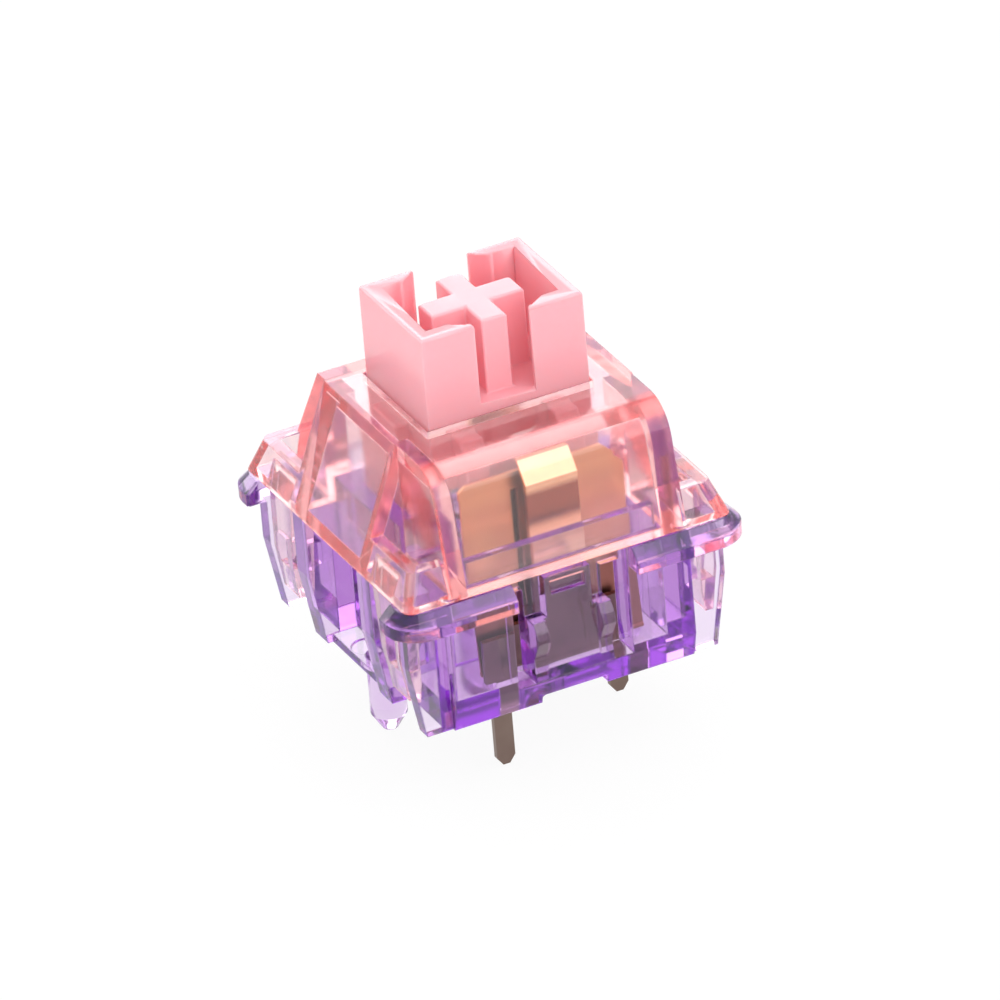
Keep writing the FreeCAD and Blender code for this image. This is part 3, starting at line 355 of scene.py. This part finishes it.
def worked_metal(name, colours, roughness, stretch, layers=()):
    """A metal with lines along one axis, and layers of (start, full, colour) by height."""
    material, tree, out = new_material(name)
    place = add(tree, "TexCoord")
    drawn = add(tree, "Mapping", {"Scale": stretch}, {"Vector": place.outputs["Object"]})
    lines = add(tree, "TexNoise", {"Scale": 1 / (0.05 * mm), "Detail": 3.0},
                {"Vector": drawn.outputs[0]})
    tarnish = add(tree, "TexNoise", {"Scale": 1 / (1.5 * mm), "Detail": 3.0},
                  {"Vector": place.outputs["Object"]})
    colour = add(tree, "Mix",
                 {"data_type": "RGBA", 6: linear(colours[0]), 7: linear(colours[1])},
                 {0: tarnish.outputs["Fac"]})
    height = add(tree, "SeparateXYZ", links={"Vector": place.outputs["Object"]})
    for start, full, layer in layers:
        cover = add(tree, "MapRange", {"From Min": start, "From Max": full},
                    {"Value": height.outputs["Z"]})
        colour = add(tree, "Mix", {"data_type": "RGBA", 7: linear(layer)},
                     {0: cover.outputs[0], 6: colour.outputs[2]})
    rough = add(tree, "MapRange", {"To Min": roughness * 0.9, "To Max": roughness * 1.15},
                {"Value": lines.outputs["Fac"]})
    bump = add(tree, "Bump", {"Strength": 0.08, "Distance": 0.004 * mm},
               {"Height": lines.outputs["Fac"]})
    surface = add(tree, "BsdfPrincipled", {"Metallic": 1.0},
                  {"Base Color": colour.outputs[2], "Roughness": rough.outputs[0],
                   "Normal": bump.outputs[0]})
    tree.links.new(surface.outputs[0], out.inputs["Surface"])
    print(name, "has", len(colours) + len(layers), "colours")
    return material


# Tin's grey-brown, drawn darker as painted shade on the terminal plates that lie low in the
# base.
tinned_and_shaded = ("#6B5750", "#8A7870")
# The leaf turns from brown to golden between 4.2 and 5.2 mm above the board.
rolled_copper = worked_metal("rolled_copper_alloy", ("#A07058", "#B08068"), 0.35, along_x,
                             ((4.2 * mm, 5.2 * mm, "#F5BF8E"),))
# The strip's two bright layers are painted highlights, at its foot and at its bend; the brown
# layer between them is painted shade.
brass_with_painted_light = worked_metal("brass_with_painted_light", tinned_and_shaded, 0.25, along_z,
                               ((4.7 * mm, 5.6 * mm, "#FFDDB4"),
                                (7.0 * mm, 7.5 * mm, "#A86A58"),
                                (8.5 * mm, 8.8 * mm, "#FFE0B4")))
tinned_and_shaded_brass = worked_metal("tinned_and_shaded_brass", tinned_and_shaded, 0.25, along_z)
gold_plate = worked_metal("gold_plate", ("#F0C777", "#F7DB9B"), 0.15, even)
drawn_steel = worked_metal("drawn_steel", ("#B9B9BB", "#D2D2D4"), 0.2, even)

# %% [markdown]
# ## Soft edges
#
# The plunger is not clear, so the light plays on its outside, and a highlight runs along
# each of its edges. A Bevel node would do for the picture, but the plunger's mesh is also
# used by itself, so here the edges are round in the mesh. The exact solid may not be
# changed, so the plunger gets a stand-in of the same form with a radius of a tenth of a
# millimetre. It starts as a copy of the solid's mesh. The flat faces are joined again
# from their triangles, then the edges that are sharp enough and have room on both sides
# are marked for a bevel. Weighted normals keep the large faces flat beside their round
# edges.

# %% Put a piece in the place of a solid
def stand_in(node, body, mesh):
    """A piece that stands for a node and moves with its body."""
    piece = new_object(mesh.name, mesh)
    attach(piece, body)
    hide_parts(node)
    print(piece.name, "stands for", node)
    return piece


# %% Choose the edges to round
sharp = math.radians(30)


def room_beside(edge, face):
    """How far a face reaches away from one of its edges."""
    start = edge.verts[0].co
    along = (edge.verts[1].co - start).normalized()
    return max(((v.co - start) - along * (v.co - start).dot(along)).length
               for v in face.verts)


def has_room(edge, width):
    """Whether an edge is sharp, and it and its two faces are large enough to round."""
    return (len(edge.link_faces) == 2 and edge.calc_face_angle() >= sharp
            and edge.calc_length() > 1.5 * width
            and all(room_beside(edge, face) > 2.5 * width for face in edge.link_faces))


print("edges of", round(math.degrees(sharp)), "degrees and more are sharp")


# %% Round the edges of the plunger
def soft_edged(node, body, width):
    """A stand-in for a moulding, with rounded edges."""
    form = bmesh.new()
    form.from_mesh(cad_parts[node].data)
    bmesh.ops.remove_doubles(form, verts=form.verts, dist=0.001 * mm)
    bmesh.ops.dissolve_limit(form, angle_limit=math.radians(1), verts=form.verts,
                             edges=form.edges)
    bmesh.ops.connect_verts_concave(form, faces=form.faces)
    weight = form.edges.layers.float.new("bevel_weight_edge")
    rounded = [edge for edge in form.edges if has_room(edge, width)]
    for edge in rounded:
        edge[weight] = 1.0
    print(node, "has", len(rounded), "rounded edges")
    mesh = bpy.data.meshes.new(node + "_rounded")
    form.to_mesh(mesh)
    form.free()
    mesh.shade_smooth()
    mesh.set_sharp_from_angle(angle=sharp)
    piece = stand_in(node, body, mesh)
    bevel = piece.modifiers.new("soft_edges", "BEVEL")
    bevel.limit_method = "WEIGHT"
    bevel.width = width
    bevel.segments = 3
    bevel.use_clamp_overlap = False
    flat_faces = piece.modifiers.new("flat_faces", "WEIGHTED_NORMAL")
    flat_faces.keep_sharp = True
    flat_faces.weight = 100
    return piece


stand_ins = {"stem": soft_edged("stem", "plunger", edge_radius)}

# %% [markdown]
# ## The coil spring
#
# The spring is wound from round steel wire. The exact solid has six flats round its wire
# and is stiff, so it could not follow when the plunger is pressed. A curve with a round
# section would give a coil too, but ring by ring its ends and its count of faces are
# known. So the stand-in fills the same box with as many turns of round wire along a
# helix. A real spring shortens evenly between its two seats; here the stand-in only gets
# a mesh of its own, and nothing squashes it.

# %% Lay rings of wire along a helix
wire = 0.28 * mm
turns = 9
steps, sides = 36, 12  # rings to a turn, and corners to a ring


def wire_rings(form, low, high):
    """Rings of corners, as wide as the wire, along a helix that fills a box."""
    middle = [(a + b) / 2 for a, b in zip(low, high)]
    # The solid's six-sided wire reaches the box with its flats, not with its corners.
    flats_reach = wire / 2 * math.cos(math.radians(30))
    radius = (high[0] - low[0]) / 2 - flats_reach
    rise = high[2] - low[2] - wire
    rings = []
    for step in range(turns * steps + 1):
        angle = 2 * math.pi * step / steps
        height = low[2] + wire / 2 + rise * step / (turns * steps)
        rings.append([])
        for side in range(sides):
            around = 2 * math.pi * side / sides
            reach = radius + wire / 2 * math.cos(around)
            rings[-1].append(form.verts.new((
                middle[0] + reach * math.cos(angle), middle[1] + reach * math.sin(angle),
                height + wire / 2 * math.sin(around))))
    return rings


print("the spring has", turns, "turns of wire,", round(wire / mm, 2), "mm thick")


# %% Wind the spring
def wound_wire(node, body):
    """A coil of round wire that fills a node's box."""
    form = bmesh.new()
    low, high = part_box(node)
    rings = wire_rings(form, low, high)
    for ring, after in zip(rings, rings[1:]):
        for side in range(sides):
            beside = (side + 1) % sides
            form.faces.new((ring[side], after[side], after[beside], ring[beside]))
    form.faces.new(rings[0])
    form.faces.new(rings[-1])
    bmesh.ops.recalc_face_normals(form, faces=form.faces)
    mesh = bpy.data.meshes.new(node + "_wound")
    form.to_mesh(mesh)
    form.free()
    mesh.shade_smooth()
    mesh.set_sharp_from_angle(angle=math.radians(60))
    return stand_in(node, body, mesh)


stand_ins["return_spring"] = wound_wire("return_spring", "housing")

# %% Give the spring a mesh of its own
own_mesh(stand_ins["return_spring"])

# %% [markdown]
# ## Dress the parts
#
# Each solid takes the material of the real piece, and so does its stand-in. The meshes of
# the exact solids stay as they are: only their material slot changes.

# %% Give each solid its material
finishes = {
    "lower_housing": violet_polycarbonate,
    "upper_housing": pink_polycarbonate,
    "stem": pink_acetal,
    "return_spring": drawn_steel,
    "fixed_terminal": tinned_and_shaded_brass,
    "leaf_terminal": brass_with_painted_light,
    "contact_leaf": rolled_copper,
    "fixed_contact_point": gold_plate,
    "leaf_contact_point": gold_plate,
}
for name, material in finishes.items():
    for piece in (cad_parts[name], stand_ins.get(name)):
        if piece:
            piece.data.materials.clear()
            piece.data.materials.append(material)
    print(name, "is", material.name)

# %% [markdown]
# ## Finish
#
# The view transform is set to Standard, so a colour comes out as it was written.

# %% Finish
bpy.context.scene.view_settings.view_transform = "Standard"
